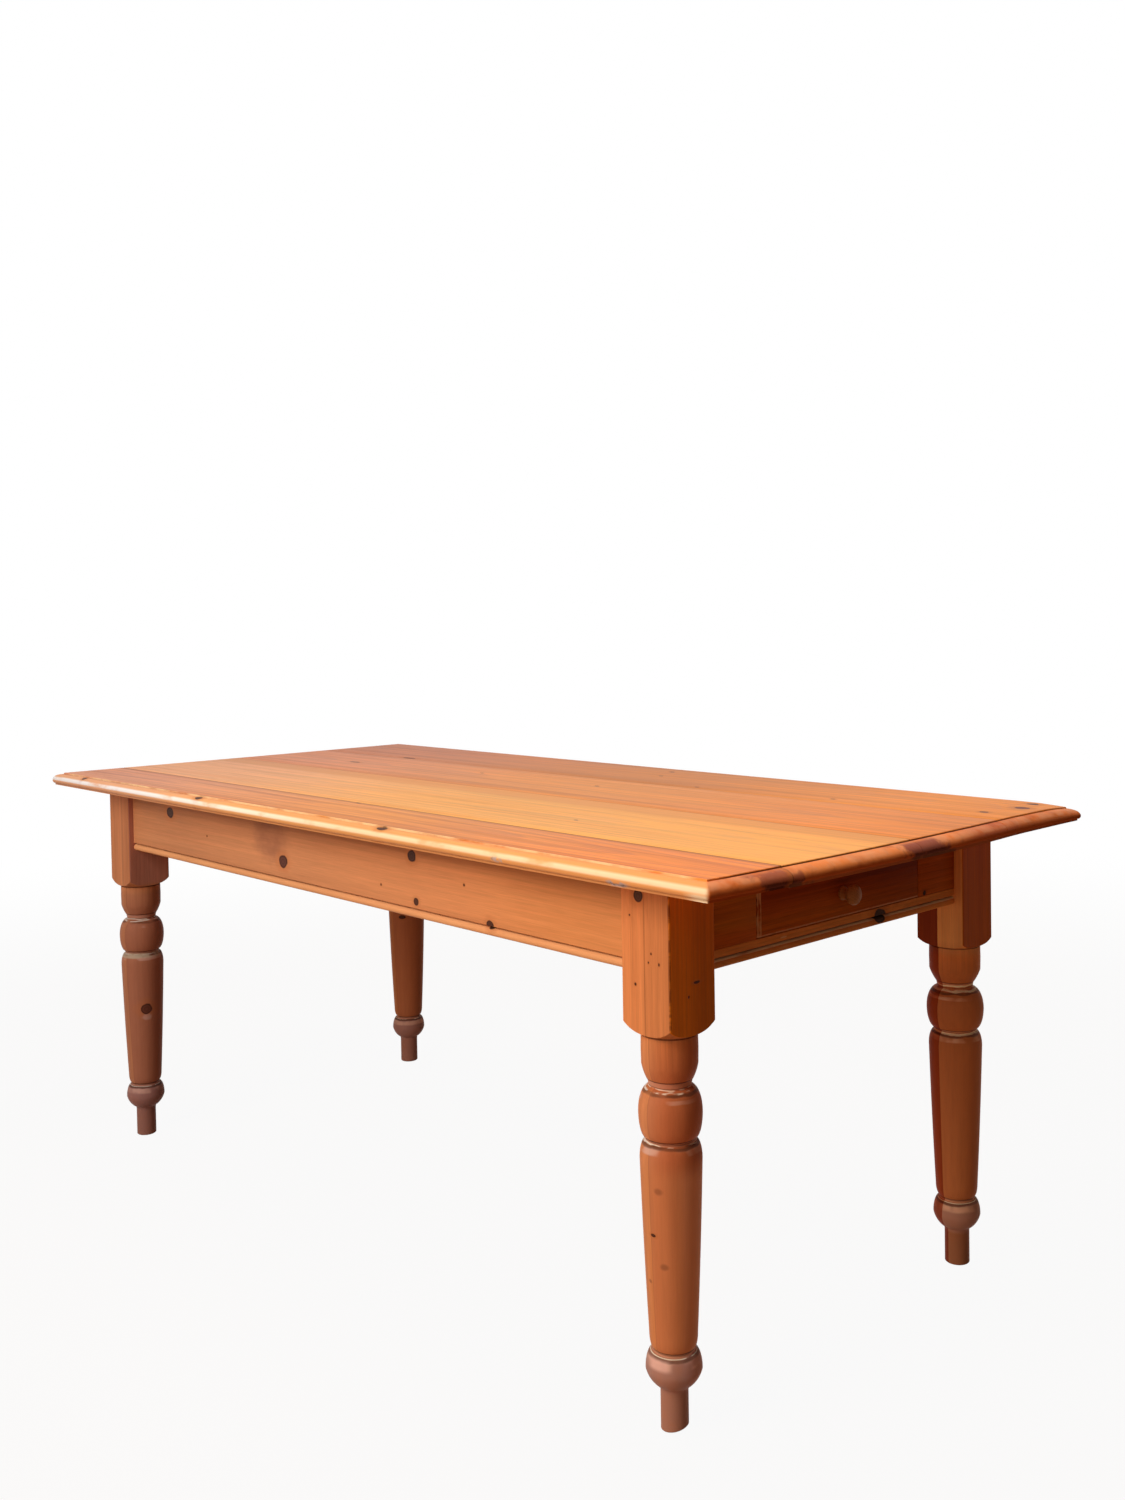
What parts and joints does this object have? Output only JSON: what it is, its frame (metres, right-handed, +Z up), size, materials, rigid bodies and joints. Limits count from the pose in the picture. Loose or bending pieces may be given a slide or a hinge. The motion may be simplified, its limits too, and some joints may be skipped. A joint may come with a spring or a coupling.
{
  "type": "farmhouse table",
  "caption": "Long pine farmhouse table with a moulded plank top, turned legs, beaded aprons and a dovetailed drawer in the end that slides out by a turned knob.",
  "frame": {"origin": "on the floor, under the middle of the top", "axes": "+X along the table towards the drawer, +Y to the back, +Z up"},
  "size_m": [1.88, 0.895, 0.76],
  "materials": {
    "top_pine": "waxed honey pine, satin",
    "leg_pine": "stained and waxed pine",
    "apron_pine": "stained and waxed pine",
    "inside_pine": "bare planed pine",
    "knob_pine": "turned and waxed pine",
    "screw_steel": "plain steel"
  },
  "bodies": {
    "table": {"apron_back": "apron_pine", "apron_front": "apron_pine", "apron_plain_end": "apron_pine", "button_back_1": "inside_pine", "button_back_1_screw": "screw_steel", "button_back_2": "inside_pine", "button_back_2_screw": "screw_steel", "button_back_3": "inside_pine", "button_back_3_screw": "screw_steel", "button_front_1": "inside_pine", "button_front_1_screw": "screw_steel", "button_front_2": "inside_pine", "button_front_2_screw": "screw_steel", "button_front_3": "inside_pine", "button_front_3_screw": "screw_steel", "button_plain_end_1": "inside_pine", "button_plain_end_1_screw": "screw_steel", "button_plain_end_2": "inside_pine", "button_plain_end_2_screw": "screw_steel", "drawer_bearer": "inside_pine", "drawer_kicker_back": "inside_pine", "drawer_kicker_front": "inside_pine", "drawer_rail": "apron_pine", "drawer_runner_back": "inside_pine", "drawer_runner_front": "inside_pine", "drawer_stile_back": "apron_pine", "drawer_stile_front": "apron_pine", "drawer_stop_back": "inside_pine", "drawer_stop_front": "inside_pine", "drawer_top_rail": "inside_pine", "drawer_top_rail_screw_1": "screw_steel", "drawer_top_rail_screw_2": "screw_steel", "leg_back_drawer_end": "leg_pine", "leg_back_plain_end": "leg_pine", "leg_front_drawer_end": "leg_pine", "leg_front_plain_end": "leg_pine", "middle_bearer": "inside_pine", "middle_bearer_screw_1": "screw_steel", "middle_bearer_screw_2": "screw_steel", "middle_bearer_screw_3": "screw_steel", "middle_bearer_screw_4": "screw_steel", "top_plank_1": "top_pine", "top_plank_2": "top_pine", "top_plank_3": "top_pine", "top_plank_4": "top_pine"},
    "drawer": {"drawer_front": "apron_pine", "drawer_side_front": "inside_pine", "drawer_side_back": "inside_pine", "drawer_back": "inside_pine", "drawer_bottom": "inside_pine", "drawer_knob": "knob_pine", "drawer_knob_screw": "screw_steel"}
  },
  "joints": [
    {"name": "drawer_slide", "type": "slide", "parent": "table", "child": "drawer", "axis": [1, 0, 0], "range_m": [0, 0.38]}
  ]
}
